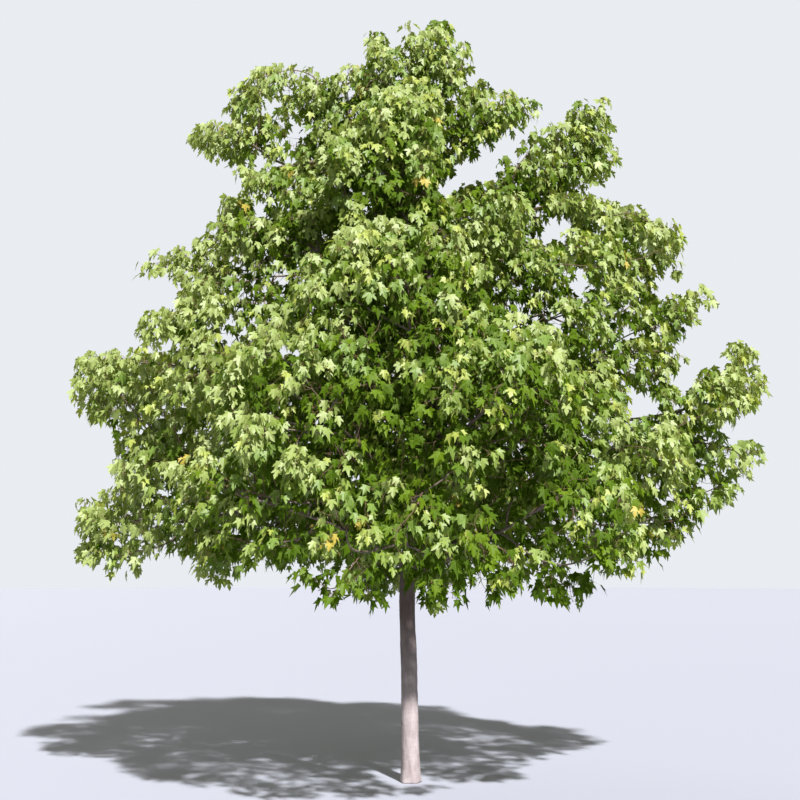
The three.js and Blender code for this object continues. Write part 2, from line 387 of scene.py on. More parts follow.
UPPER_BARK_SHADE = (0.285, 0.235, 0.198, 1.0)  # what the bark's colours are multiplied by there, and on the boughs: painted shade of the crown, with some darker tone of the bark's own
FURROW_STRETCH = (95, 9, 4.0)  # how fine the marks are across and along the grain, and their detail
LINE_STRETCH = (28, 210, 2.0)
BLOTCH_STRETCH = (14, 7, 5.0)
LINE_EDGES = (0.34, 0.44)
FURROW_EDGES = (0.3, 0.62)
BLOTCH_EDGES = (0.45, 0.7)
BLOTCH_SHARE = 0.7
LINE_SHARE = 0.35  # how much the level lines show, in the colour and in the relief
BARKS = {  # does its mesh carry a grain; fineness of the marks; colours: light, in furrows, in blotches
    "trunk_bark": (True, 1.0, (164, 153, 154), (140, 128, 128), (183, 175, 176)),
    "limb_bark": (False, 1.6, (116, 103, 92), (72, 60, 51), (136, 126, 115)),
    "twig_bark": (False, 3.0, (118, 92, 74), (74, 52, 42), (128, 112, 92)),
    "stalk_skin": (False, 6.0, (150, 128, 72), (132, 88, 66), (132, 146, 74)),
}
STEMS = (  # piece, its bark, sides, whether its ends are closed
    ("limbs", "limb_bark", 8, True),
    ("twigs", "twig_bark", 4, True),
    ("shoots", "twig_bark", 3, False),
)

# Studio.
EYE = (-0.0758, -8.83, 1.595)
EYE_TILT = 7.655
LENS = 53.235
KEY_FROM = (0.27, -0.66, 0.72)
LAMPS = (  # name, where its light comes from, strength, how many degrees across it is
    ("key", KEY_FROM, 8.45, 2),
    ("back", (-0.5, 0.8, 0.45), 1.1, 50),
)
LAMP_COLOUR = (1.0, 0.965, 0.95)
SKY_FILL = (1.0, 1.0, 0.77, 1.0)
FILL_STRENGTH = 0.21
SURROUND = (0.86, 0.89, 0.93, 1.0)
SURROUND_SEEN = 0.95
FLOOR_LIGHT = (0.35, 0.37, 0.44, 1.0)
FLOOR_DARK = (0.32, 0.34, 0.405, 1.0)
FLOOR_RADIUS = 60
FLOOR_SIDES = 96

# ---------------------------------------------------------------- small helpers


def unit(vectors):
    """The vectors, each at length one."""
    length = np.linalg.norm(vectors, axis=-1, keepdims=True)
    return vectors / np.maximum(length, 1e-9)


def mesh_arrays(node):
    """A node's points and triangles."""
    mesh = frame["nodes"][node].data
    points = np.empty(len(mesh.vertices) * 3)
    mesh.vertices.foreach_get("co", points)
    corners = np.empty(len(mesh.loops), int)
    mesh.loops.foreach_get("vertex_index", corners)
    return points.reshape(-1, 3), corners.reshape(-1, 3)


def slice_middle(points, faces, origin, way):
    """Middle and mean radius of the cut that a plane makes through a solid."""
    side = (points - origin) @ way
    edges = faces[:, [0, 1, 1, 2, 2, 0]].reshape(-1, 2)
    first, second = side[edges[:, 0]], side[edges[:, 1]]
    crossing = (first < 0) != (second < 0)
    share = (first[crossing] / (first[crossing] - second[crossing]))[:, None]
    cuts = points[edges[crossing, 0]] * (1 - share) + points[edges[crossing, 1]] * share
    middle = (cuts.min(0) + cuts.max(0)) / 2
    return middle, np.linalg.norm(cuts - middle, axis=1).mean()


def trunk_line():
    """The trunk's centreline and radius, at heights from the ground to its tip."""
    points, faces = mesh_arrays("trunk")
    up = np.array([0.0, 0.0, 1.0])
    low, high = TRUNK_CUT_ENDS
    heights = np.linspace(low, points[:, 2].max() - high, TRUNK_CUTS)
    cuts = [slice_middle(points, faces, up * z, up) for z in heights]
    line = np.array([np.append(middle[:2], z) for (middle, _), z in zip(cuts, heights)])
    return line, np.array([radius for _, radius in cuts])


def bough_line(node, trunk):
    """A bough's centreline and radius, from beside the trunk to its end."""
    points, faces = mesh_arrays(node)
    gaps = np.linalg.norm(points[:, None] - trunk[None], axis=2).min(1)
    inner = points[gaps.argmin()]
    outer = points[np.linalg.norm(points - inner, axis=1).argmax()]
    way = unit(outer - inner)
    along = (points - inner) @ way
    low, high = BOUGH_CUT_ENDS
    places = [inner + way * d for d in np.linspace(along.min() + low, along.max() - high, BOUGH_CUTS)]
    cuts = [slice_middle(points, faces, place, way) for place in places]
    return np.array([middle for middle, _ in cuts]), np.array([radius for _, radius in cuts])


# ---------------------------------------------------------------- the crown's room


def neighbours(cells):
    """The cells, shifted by one in each of the six ways."""
    for axis in range(3):
        for shift in (1, -1):
            yield np.roll(cells, shift, axis)


class Room:
    """The space that the masses of foliage take up, as cells that each hold the mass's number, or -1."""

    def __init__(self, masses):
        boxes = [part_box(node) for node in masses]
        self.low = np.min([box[0] for box in boxes], axis=0) - CELLS_AROUND * CELL
        high = np.max([box[1] for box in boxes], axis=0) + CELLS_AROUND * CELL
        self.shape = np.ceil((high - self.low) / CELL).astype(int)
        self.cells = np.full(self.shape, -1, np.int16)
        for number, (node, box) in enumerate(zip(masses, boxes)):
            self.fill(number, node, box)

    def fill(self, number, node, box):
        """Numbers the cells inside one mass, column by column."""
        points, faces = mesh_arrays(node)
        tree = BVHTree.FromPolygons(points.tolist(), faces.tolist())
        first = np.floor((np.array(box[0]) - self.low) / CELL).astype(int)
        last = np.ceil((np.array(box[1]) - self.low) / CELL).astype(int)
        up = Vector((0, 0, 1))
        for i in range(first[0], last[0] + 1):
            for j in range(first[1], last[1] + 1):
                x, y = self.low[:2] + (np.array([i, j]) + 0.5) * CELL
                start = Vector((x, y, box[0].z - CLEAR_BELOW))
                heights = []
                while True:
                    hit = tree.ray_cast(start, up)[0]
                    if hit is None:
                        break
                    heights.append(hit.z)
                    start = hit + up * NEXT_HIT
                for bottom, top in zip(heights[::2], heights[1::2]):
                    k0 = math.ceil((bottom - self.low[2]) / CELL - 0.5)
                    k1 = math.floor((top - self.low[2]) / CELL - 0.5)
                    self.cells[i, j, k0 : k1 + 1] = number

    def within(self):
        """The cells with foliage on all six sides."""
        inside = self.cells >= 0
        kept = inside.copy()
        for shifted in neighbours(inside):
            kept &= shifted
        return kept

    def beyond(self):
        """The empty cells just outside the foliage."""
        grown = self.cells >= 0
        for _ in range(SPRIG_REACH):
            for shifted in neighbours(grown.copy()):
                grown |= shifted
        return grown & (self.cells < 0)

    def hollows(self, trunk, rng):
        """Some empty places that the masses shut in, near the trunk or in the clefts between masses."""
        empty = np.argwhere(self.cells < 0)
        places = self.low + (empty + rng.random(empty.shape)) * CELL
        line = np.stack([np.interp(places[:, 2], trunk[:, 2], trunk[:, k]) for k in (0, 1)], axis=1)
        reach = np.linalg.norm(places[:, :2] - line, axis=1)
        low, high = HOLLOW_HEIGHTS
        near = (reach < CLEFT_REACH) & (reach > CLEAR_OF_TRUNK)
        near &= (places[:, 2] > low) & (places[:, 2] < high)
        places, reach = places[near], reach[near]
        order = rng.permutation(len(places))[:HOLLOW_TRIES]
        places, reach = places[order], reach[order]
        openness = self.openness(places)
        limit = np.interp(reach, (0, HOLLOW_REACH), SHUT_IN)
        shut_in = (reach < HOLLOW_REACH) & (openness < limit)
        return places[shut_in | (self.backed(places) & (openness < CLEFT_OPEN))]

    def backed(self, places):
        """Whether each place has foliage behind it, or in front of it, as seen from the front."""
        way = unit(places - EYE)
        found = np.zeros(len(places), bool)
        for depth in np.arange(-BACKED_DEPTH, BACKED_DEPTH, 2 * CELL):
            found |= self.holds(places + way * depth)
        return found

    def holds(self, points):
        """Whether each point is inside foliage."""
        index = np.floor((points - self.low) / CELL).astype(int)
        fits = ((index >= 0) & (index < self.shape)).all(-1)
        index = np.where(fits[..., None], index, 0)
        return fits & (self.cells[index[..., 0], index[..., 1], index[..., 2]] >= 0)

    def openness(self, points):
        """How much of the space around each point is open to the light, 0 to 1, the sky counting most."""
        total, weights = np.zeros(len(points)), 0.0
        for way, weight in open_ways():
            depth = np.zeros(len(points))
            for stride in range(1, OPEN_STRIDES + 1):
                depth += self.holds(points + way * (stride * OPEN_STEP)) * OPEN_STEP
            total += weight * np.exp(-depth / LEAF_DEPTH)
            weights += weight
        return total / weights


def open_ways():
    """Directions that light comes from, with their weights."""
    yield np.array([0.0, 0.0, 1.0]), LIGHT_ABOVE
    for tilt, count, weight in LIGHT_WAYS:
        rise = math.radians(tilt)
        for turn in np.arange(count) * 2 * math.pi / count + rise:
            x, y = math.cos(turn) * math.cos(rise), math.sin(turn) * math.cos(rise)
            yield np.array([x, y, math.sin(rise)]), weight


def choose_spots(room, trunk, rng):
    """Places where leafy shoots end: scattered through the masses, closer together where it is light."""
    skin_cells = (room.cells >= 0) & ~room.within() & (rng.random(room.shape) < SKIN_SHARE)
    sprigs = room.beyond() & (rng.random(room.shape) < SPRIG_SHARE)
    cells = np.argwhere(room.within() | skin_cells | sprigs)
    cells = cells[rng.permutation(len(cells))[:SPOT_TRIES]]
    places = room.low + (cells + rng.random(cells.shape)) * CELL
    hollow = room.hollows(trunk, rng)
    places = np.concatenate([places, hollow])[rng.permutation(len(places) + len(hollow))]
    places = places[~(in_gap(places) | in_pocket(places))]
    tufts = np.repeat(np.array(TUFTS), TUFT_TRIES, axis=0)
    outwards = unit(rng.normal(size=(len(tufts), 3))) * rng.random((len(tufts), 1)) ** (1 / 3)
    tufts = tufts[:, :3] + outwards * tufts[:, 3:]
    tufts = tufts[~in_sun_way(tufts, trunk)]
    places = np.concatenate([tufts, places[~in_sun_way(places, trunk)]])
    light = room.openness(places)
    lowest, highest = np.quantile(light, LIGHT_RANGE)
    deep = np.clip((highest - light) / (highest - lowest), 0, 1)
    gaps = SPOT_GAP_OPEN + (SPOT_GAP_DEEP - SPOT_GAP_OPEN) * deep**2
    swing = np.clip(ripples(places, rng), *CLUMP_SWING) * (1 - DEEP_EVENNESS * deep)
    gaps *= 1 + CLUMPING * swing * np.clip(CLUMPED_UNDER - places[:, 2], TOP_CLUMPING, 1)
    thin_top = np.interp(places[:, 2], THIN_TOP, (0, 1))
    thin = np.maximum(thin_top, np.interp(np.abs(places[:, 0]), THIN_SIDES, (0, 1)))
    gaps *= 1 - THIN_CLOSER * thin
    gaps[: len(tufts)] = SPOT_GAP_OPEN * (1 - THIN_CLOSER * thin[: len(tufts)])
    light = light - VALLEY_SHADE * swing * (highest - lowest)
    kept = np.empty((len(places), 3))
    kept_light = np.empty(len(places))
    count = 0
    for place, gap, lit in zip(places, gaps, light):
        if count and (((kept[:count] - place) ** 2).sum(1) < gap * gap).any():
            continue
        kept[count] = place
        kept_light[count] = lit
        count += 1
    return kept[:count], kept_light[:count]


def ripples(places, rng):
    """A number that rises and falls smoothly through the crown, about 0, from waves that cross."""
    total = np.zeros(len(places))
    for _ in range(RIPPLE_WAVES):
        way = unit(rng.normal(size=3)) * 2 * math.pi / rng.uniform(*RIPPLE_LENGTHS)
        total += np.sin(places @ way + rng.uniform(0, 2 * math.pi))
    return total / math.sqrt(RIPPLE_WAVES / 2)


def in_sun_way(places, trunk):
    """Whether each place would shade the foot of the trunk, which stands in the sun under the crown."""
    sun = unit(np.array(KEY_FROM))
    level = sun[:2] / (sun[:2] @ sun[:2])
    foot = trunk[0, :2]
    along = (places[:, :2] - foot) @ level
    aside = np.linalg.norm(places[:, :2] - foot - along[:, None] * sun[:2], axis=1)
    height = places[:, 2] - along * sun[2]
    low, high = SUNLIT_FOOT
    return (along > 0) & (aside < SUN_WAY_WIDTH) & (height > low) & (height < high)


def in_pocket(places):
    """Whether each place lies in one of the pockets."""
    pockets = np.array(POCKETS)
    apart = np.linalg.norm(places[:, None] - pockets[None, :, :3], axis=2)
    return (apart < pockets[:, 3]).any(1)


def in_gap(places):
    """Whether each place lies in one of the gaps that let the sky through from the front, or in front of
    the trunk in its window."""
    reach = -EYE[1] / (places[:, 1] - EYE[1])
    across = EYE[0] + (places[:, 0] - EYE[0]) * reach
    height = EYE[2] + (places[:, 2] - EYE[2]) * reach

    def seen_in(x, z, half_width, half_height):
        return ((across - x) / half_width) ** 2 + ((height - z) / half_height) ** 2 < 1

    found = seen_in(*TRUNK_WINDOW) & (places[:, 1] < 0)
    for gap in SKY_GAPS:
        found |= seen_in(*gap)
    return found


# ---------------------------------------------------------------- growth


def grow(starts, headings, spots, room, rng):
    """Growth by small steps from the limbs towards the spots that draw it. Gives the places, the place
    that each grew from (-1 for a start), and for each spot the place that its shoot leaves from."""
    most = len(starts) + MOST_PLACES
    places = np.empty((most, 3))
    ways = np.empty((most, 3))
    parents = np.full(most, -1)
    forks = np.zeros(most, int)
    last_child = np.full(most, -1)
    count = len(starts)
    places[:count] = starts
    ways[:count] = headings
    gaps = np.linalg.norm(spots[:, None] - starts[None], axis=2)
    nearest = gaps.argmin(1)
    distance = gaps.min(1)
    home = np.full(len(spots), -1)
    for _ in range(GROWTH_STEPS):
        reached = (home < 0) & (distance < REACH)
        home[reached] = nearest[reached]
        drawn = np.flatnonzero((home < 0) & (distance < PULL))
        if not len(drawn):
            break
        push = np.zeros((count, 3))
        np.add.at(push, nearest[drawn], unit(spots[drawn] - places[nearest[drawn]]))
        tips = np.unique(nearest[drawn])
        tips = tips[forks[tips] < MOST_FORKS]
        way = unit(push[tips]) + KEEP_ON * ways[tips] + rng.normal(0, WANDER, (len(tips), 3))
        way[:, 2] += RISE
        way = unit(way)
        new = places[tips] + way * STEP
        child = last_child[tips]
        apart = np.linalg.norm(new - places[np.maximum(child, 0)], axis=1)
        gaps = np.linalg.norm(spots[:, None] - new[None], axis=2)
        covered = (room.holds(new) | (gaps.min(0) < COVER)) & ~in_gap(new)
        fresh = ((child < 0) | (apart > SIBLINGS_APART * STEP)) & covered
        tips, way, new, gaps = tips[fresh], way[fresh], new[fresh], gaps[:, fresh]
        if not len(tips):
            break
        added = np.arange(count, count + len(tips))
        places[added], ways[added], parents[added] = new, way, tips
        forks[tips] += 1
        last_child[tips] = added
        count += len(tips)
        closer = gaps.min(1) < distance
        nearest[closer] = added[gaps.argmin(1)[closer]]
        distance = np.minimum(distance, gaps.min(1))
    return places[:count], parents[:count], home


class Wood:
    """The branches as places, the place that each grew from, and how thick each is."""

    def __init__(self, places, parents, home, spots, light, rng):
        drawn = np.flatnonzero(home >= 0)
        self.spots = spots[drawn]
        self.light = light[drawn]
        self.bends = shoots(places[home[drawn]], self.spots, rng)
        shoot_places = bend_at(self.bends, np.array(SHOOT_SHARES))
        self.grown = len(places)
        count = len(SHOOT_SHARES)
        first = self.grown + count * np.arange(len(drawn))
        shoot_parents = np.stack([home[drawn], *[first + k for k in range(count - 1)]], axis=1)
        self.places = np.concatenate([places, shoot_places.reshape(-1, 3)])
        self.parents = np.concatenate([parents, shoot_parents.reshape(-1)])
        self.measure()
        self.smooth()

    def measure(self):
        """Adds up the branches' cross-sections from their tips, and finds each place's main child."""
        total = len(self.places)
        area = np.zeros(total)
        self.main = np.full(total, -1)
        widest = np.zeros(total)
        for index in range(total - 1, -1, -1):
            if not area[index] and index >= self.grown:
                area[index] = TWIG_TIP**GIRTH_POWER
            if not area[index]:
                continue
            area[index] = (area[index] ** (1 / GIRTH_POWER) + STEP_GIRTH) ** GIRTH_POWER
            parent = self.parents[index]
            if parent >= 0:
                area[parent] += area[index]
                if area[index] > widest[parent]:
                    widest[parent] = area[index]
                    self.main[parent] = index
        self.alive = area > 0
        self.radii = area ** (1 / GIRTH_POWER)

    def smooth(self):
        """Takes the kinks out of the branches, apart from the leafy shoots and the first places."""
        index = np.flatnonzero(self.alive & (self.parents >= 0) & (self.main >= 0))
        index = index[index < self.grown]
        for _ in range(KINK_PASSES):
            middle = (self.places[self.parents[index]] + self.places[self.main[index]]) / 2
            self.places[index] += KINK_SHARE * (middle - self.places[index])

    def chains(self):
        """The branches as runs of places, each from where it leaves its parent to a tip."""
        for index in np.flatnonzero(self.alive):
            parent = self.parents[index]
            if parent >= 0 and self.main[parent] == index:
                continue
            run = [index] if parent < 0 else [parent, index]
            while self.main[run[-1]] >= 0:
                run.append(self.main[run[-1]])
            if len(run) > 1:
                yield run


def shoots(feet, tips, rng):
    """Bends of the leafy shoots: foot, bend and tip of each, so that the tips turn upwards."""
    way = unit(tips - feet)
    end = unit(SHOOT_KEEP_ON * way + np.array([0, 0, SHOOT_RISE]) + rng.normal(0, SHOOT_WANDER, way.shape))
    length = np.linalg.norm(tips - feet, axis=1, keepdims=True)
    return np.stack([feet, tips - end * SHOOT_BEND * length, tips], axis=1)


def bend_at(bends, shares):
    """Places along each bend, at these shares of its length."""
    t = shares[None, :, None]
    foot, middle, tip = (bends[:, k, None] for k in range(3))
    return (1 - t) ** 2 * foot + 2 * t * (1 - t) * middle + t**2 * tip


def heading_at(bends, shares):
    """Headings along each bend, at these shares of its length."""
    t = shares[None, :, None]
    foot, middle, tip = (bends[:, k, None] for k in range(3))
    return unit((1 - t) * (middle - foot) + t * (tip - middle))


# ---------------------------------------------------------------- leaves


def place_leaves(wood, rng):
    """Every leaf of every shoot: opposite pairs, each turned a quarter from the last, on stalks that
    spread and rise, with blades that hang from them."""
    count = len(wood.bends)
    shares = np.array(PAIR_SHARES)
    bases = bend_at(wood.bends, shares)
    heading = heading_at(wood.bends, shares)
    across = unit(np.cross(heading, NEARLY_UP))
    other = np.cross(heading, across)
    turn = rng.uniform(0, 2 * math.pi, (count, 1)) + math.pi / 2 * np.arange(len(shares))
    turn = turn + rng.normal(0, PAIR_TURN_SPREAD, turn.shape)
    up = np.array([0, 0, 1.0])
    onward, upward, astray = STALK_HEADING
    on, outward, blade_astray = OUTWARD
    sides = []
    for side in (0, math.pi):
        angle = (turn + side + rng.normal(0, STALK_TURN_SPREAD, turn.shape))[..., None]
        out = np.cos(angle) * across + np.sin(angle) * other
        way = unit(out + onward * heading + upward * up + rng.normal(0, astray, out.shape))
        length = STALK_LENGTH * np.array(PAIR_STALKS) * rng.uniform(*STALK_LENGTHS, turn.shape)
        stalk = bases + way * length[..., None]
        away = unit((stalk - OUTWARD_FROM) * [1, 1, 0])
        level = on * way * [1, 1, 0] + outward * away
        level = unit(level + rng.normal(0, blade_astray, level.shape) * [1, 1, 0])
        droop = np.clip(rng.normal(DROOP, DROOP_SPREAD, turn.shape), *DROOP_RANGE)
        droop = np.radians(droop)[..., None]
        tip_way = np.cos(droop) * level - np.sin(droop) * up
        flat = np.sin(droop) * level + np.cos(droop) * up
        roll = rng.normal(0, ROLL_SPREAD, turn.shape)[..., None]
        face = np.cos(roll) * flat + np.sin(roll) * np.cross(tip_way, flat)
        size = LEAF_LENGTH * np.array(PAIR_SIZES) * rng.normal(1, SIZE_SPREAD, turn.shape)
        pair = np.broadcast_to(np.arange(len(shares)), turn.shape)
        spray = np.broadcast_to(np.arange(count)[:, None], turn.shape)
        rows = (bases, stalk, tip_way, face, size, pair, spray)
        sides.append([row.reshape(-1, *row.shape[2:]) for row in rows])
    keys = ("base", "stalk", "tip_way", "face_way", "size", "pair", "spray")
    return {key: np.concatenate(rows) for key, rows in zip(keys, zip(*sides))}


# ---------------------------------------------------------------- nodes and meshes


def put(tree, kind, values=(), **settings):
    """A node in a tree, with its settings, and a value or a link for each input that is named."""
    made = tree.nodes.new(kind)
    for key, value in settings.items():
        setattr(made, key, value)
    for key, value in dict(values).items():
        if isinstance(value, bpy.types.NodeSocket):
            tree.links.new(value, made.inputs[key])
        else:
            made.inputs[key].default_value = value
    return made


def node_group(kind, name, inputs, outputs):
    """A group of nodes with these inputs and outputs, and what its inputs give."""
    tree = bpy.data.node_groups.new(name, kind)
    for way, sockets in (("INPUT", inputs), ("OUTPUT", outputs)):
        for label, socket in sockets.items():
            tree.interface.new_socket(label, in_out=way, socket_type="NodeSocket" + socket)
    return tree, put(tree, "NodeGroupInput").outputs


def piece_tree(name, inputs):
    """Geometry nodes with these inputs between the geometry and the finish."""
    inputs = {"Geometry": "Geometry", **inputs, "Finish": "Material"}
    tree, given = node_group("GeometryNodeTree", name, inputs, {"Geometry": "Geometry"})
    tree.is_modifier = True
    return tree, given


def named(tree, name, kind="FLOAT_VECTOR"):
    """The value that a mesh's attribute holds."""
    node = put(tree, "GeometryNodeInputNamedAttribute", {"Name": name}, data_type=kind)
    return node.outputs["Attribute"]


def end_tree(tree, given, geometry):
    """Realizes the instances and sets the material, as the last two nodes."""
    realize = put(tree, "GeometryNodeRealizeInstances", {"Geometry": geometry})
    values = {"Geometry": realize.outputs["Geometry"], "Material": given["Finish"]}
    paint = put(tree, "GeometryNodeSetMaterial", values)
    put(tree, "NodeGroupOutput", {"Geometry": paint.outputs["Geometry"]})
    return tree


def tube_tree():
    """Round stems along a mesh's edges, as thick as its girth attribute says."""
    tree, given = piece_tree("stems", {"Sides": "Int", "Closed ends": "Bool"})
    line = put(tree, "GeometryNodeMeshToCurve", {"Mesh": given["Geometry"]})
    ring = put(tree, "GeometryNodeCurvePrimitiveCircle", {"Resolution": given["Sides"], "Radius": 1.0})
    values = {
        "Curve": line.outputs["Curve"],
        "Profile Curve": ring.outputs["Curve"],
        "Scale": named(tree, "girth", "FLOAT"),
        "Fill Caps": given["Closed ends"],
    }
    tube = put(tree, "GeometryNodeCurveToMesh", values)
    soft = put(tree, "GeometryNodeSetShadeSmooth", {"Geometry": tube.outputs["Mesh"]})
    return end_tree(tree, given, soft.outputs["Geometry"])


def leaf_tree():
    """A leaf on each point, turned so that its tip and its face point as the attributes say."""
    tree, given = piece_tree("leaves", {"Leaf shapes": "Collection"})
    values = {"Collection": given["Leaf shapes"], "Separate Children": True, "Reset Children": True}
    shapes = put(tree, "GeometryNodeCollectionInfo", values)
    values = {"Primary Axis": named(tree, "tip_way"), "Secondary Axis": named(tree, "face_way")}
    turn = put(tree, "FunctionNodeAxesToRotation", values, primary_axis="Y", secondary_axis="Z")
    values = {
        "Points": given["Geometry"],
        "Instance": shapes.outputs["Instances"],
        "Pick Instance": True,
        "Instance Index": named(tree, "shape", "INT"),
        "Rotation": turn.outputs["Rotation"],
        "Scale": named(tree, "size"),
    }
    held = put(tree, "GeometryNodeInstanceOnPoints", values)
    return end_tree(tree, given, held.outputs["Instances"])


def stalk_tree():
    """A thin three-sided stalk from each point, tapering away along its reach attribute."""
    tree, given = piece_tree("stalks", {"Thickness": "Float"})
    reach, thickness = named(tree, "reach"), given["Thickness"]
    cone = put(tree, "GeometryNodeMeshCone", {"Vertices": 3, "Depth": 1.0}, fill_type="NONE")
    values = {"Primary Axis": reach, "Secondary Axis": STALK_TURN_AXIS}
    turn = put(tree, "FunctionNodeAxesToRotation", values, primary_axis="Z", secondary_axis="X")
    length = put(tree, "ShaderNodeVectorMath", {0: reach}, operation="LENGTH").outputs["Value"]
    size = put(tree, "ShaderNodeCombineXYZ", {"X": thickness, "Y": thickness, "Z": length})
    values = {
        "Points": given["Geometry"],
        "Instance": cone.outputs["Mesh"],
        "Rotation": turn.outputs["Rotation"],
        "Scale": size.outputs["Vector"],
    }
    held = put(tree, "GeometryNodeInstanceOnPoints", values)
    soft = put(tree, "GeometryNodeSetShadeSmooth", {"Geometry": held.outputs["Instances"]})
    return end_tree(tree, given, soft.outputs["Geometry"])


def placed(name, data):
    """A mesh, a lamp or a camera as an object in the scene."""
    item = bpy.data.objects.new(name, data)
    bpy.context.scene.collection.objects.link(item)
    return item


def run_nodes(name, mesh, tree, values):
    """A piece: what the tree makes of the mesh, as a plain mesh."""
    holder = placed(name + "_rule", mesh)
    modifier = holder.modifiers.new("rule", "NODES")
    modifier.node_group = tree
    for item in tree.interface.items_tree:
        if item.in_out == "INPUT" and item.name in values:
            modifier[item.identifier] = values[item.name]
    depsgraph = bpy.context.evaluated_depsgraph_get()
    made = bpy.data.meshes.new_from_object(holder.evaluated_get(depsgraph))
    made.name = name
    holder.modifiers.remove(modifier)
    bpy.data.objects.remove(holder)
    bpy.data.meshes.remove(mesh)
    return placed(name, made)


def carry(mesh, name, kind, values):
    """Gives a value to each of a mesh's points, as an attribute."""
    data = mesh.attributes.new(name, kind, "POINT").data
    plain = np.asarray(values, np.int32 if kind == "INT" else np.float32).ravel()
    data.foreach_set("vector" if kind == "FLOAT_VECTOR" else "value", plain)


def loose_points(name, places):
    """A mesh of points and nothing else."""
    mesh = bpy.data.meshes.new(name)
    mesh.vertices.add(len(places))
    mesh.vertices.foreach_set("co", places.astype(np.float32).ravel())
    return mesh


def line_mesh(name, runs):
    """Runs of places with a girth each, as a mesh of edges."""
    lengths = np.array([len(run[0]) for run in runs])
    starts = np.cumsum(lengths) - lengths
    links = np.concatenate([first + np.arange(size - 1) for first, size in zip(starts, lengths)])
    mesh = loose_points(name, np.concatenate([run[0] for run in runs]))
    mesh.edges.add(len(links))
    mesh.edges.foreach_set("vertices", np.stack([links, links + 1], axis=1).astype(np.int32).ravel())
    carry(mesh, "girth", "FLOAT", np.concatenate([run[1] for run in runs]))
    mesh.update()
    return mesh


def stalk_points(leaves):
    """The feet of the leaf stalks, as points that know where their leaves are."""
    mesh = loose_points("stalk_points", leaves["base"])
    carry(mesh, "reach", "FLOAT_VECTOR", leaves["stalk"] - leaves["base"])
    mesh.update()
    return mesh


def leaf_points(name, leaves, chosen):
    """The chosen leaves as points that carry their turn, size and shape."""
    mesh = loose_points(name, leaves["stalk"][chosen])
    for key in ("tip_way", "face_way", "size"):
        carry(mesh, key, "FLOAT_VECTOR", leaves[key][chosen])
    carry(mesh, "shape", "INT", leaves["shape"][chosen])
    mesh.update()
    return mesh


# ---------------------------------------------------------------- the leaf


def leaf_mesh(name, plain, fold, droop, wave, twist):
    """One five-lobed leaf of unit length: its stalk end at the origin, its tip along +Y, its face up.
    fold lifts its edges, droop bends its tip down, wave lifts and drops the lobes, twist turns the tip.
    A plain one leaves out the teeth."""
    rib = [(0, 0), (0, 0.10), (0, 0.52), (0, 1.0)]
    base, fork, heart, tip = range(4)
    if plain:
        half = [(0.34, 0.05), (0.27, 0.21), (0.47, 0.60), (0.17, 0.47)]
        low, notch, side, crook = range(4, 8)
        fan = [(base, low, fork), (fork, low, notch), (fork, notch, side)]
        fan += [(fork, side, crook), (fork, crook, heart), (heart, crook, tip)]
    else:
        half = [(0.34, 0.04), (0.26, 0.20), (0.42, 0.37), (0.48, 0.61)]
        half += [(0.31, 0.55), (0.155, 0.45), (0.215, 0.71)]
        low, notch, shoulder, side, lobe, crook, tooth = range(4, 11)
        fan = [(base, low, fork), (fork, low, notch), (fork, notch, shoulder)]
        fan += [(fork, shoulder, side), (fork, side, lobe), (fork, lobe, crook)]
        fan += [(fork, crook, heart), (heart, crook, tooth), (heart, tooth, tip)]
    points = np.array(rib + half + [(-x, y) for x, y in half], float)
    mirror = {i: (i + len(half) if i > tip else i) for i in range(4 + len(half))}
    faces = fan + [tuple(mirror[i] for i in reversed(face)) for face in fan]
    x, y = points.T
    height = fold * np.abs(x) - droop * np.clip(y, 0, None) ** 2 - CUPPING * droop * x**2
    height += wave * np.sin(WAVE_ALONG * y + WAVE_ACROSS * np.sign(x) * x**2)
    turned = twist * y
    place = np.stack([x * np.cos(turned), y, height + x * np.sin(turned)], axis=1)
    mesh = bpy.data.meshes.new(name)
    mesh.from_pydata(place.tolist(), [], faces)
    span = np.array([x.max() - x.min(), y.max() - y.min()])
    flat = (points - [x.min(), y.min()]) / span * MAP_SIZE + MAP_EDGE
    uv = mesh.uv_layers.new(name="OFBake")
    corners = np.empty(len(mesh.loops), int)
    mesh.loops.foreach_get("vertex_index", corners)
    uv.data.foreach_set("uv", flat[corners].astype(np.float32).ravel())
    sharp = mesh.attributes.new("sharp_edge", "BOOLEAN", "EDGE")
    mesh.shade_smooth()
    sharp.data.foreach_set("value", [all(i <= tip for i in edge.vertices) for edge in mesh.edges])
    return mesh


def leaf_shapes():
    """The collection of leaf shapes that the sprays are made from; it isn't part of the scene."""
    shapes = bpy.data.collections.new("leaf_shapes")
    for plain in (False, True):
        for index, bends in enumerate(LEAF_SHAPES):
            name = f"leaf_{index + len(LEAF_SHAPES) * plain:02d}"
            shapes.objects.link(bpy.data.objects.new(name, leaf_mesh(name, plain, *bends)))
    return shapes


# ---------------------------------------------------------------- bark


def resampled(line, radii, gap_at):
    """The line and its radii at closer places, with its kinks smoothed out."""
    along = np.append(0, np.cumsum(np.linalg.norm(np.diff(line, axis=0), axis=1)))
    places = [0.0]
    while places[-1] < along[-1]:
        places.append(places[-1] + gap_at(places[-1]))
    places = np.array(places) * along[-1] / places[-1]
    rows = np.stack([np.interp(places, along, row) for row in (*line.T, radii)], axis=1)
    for _ in range(SMOOTHINGS):
        rows[1:-1] = (rows[:-2] + 2 * rows[1:-1] + rows[2:]) / 4
    return rows[:, :3], rows[:, 3], places


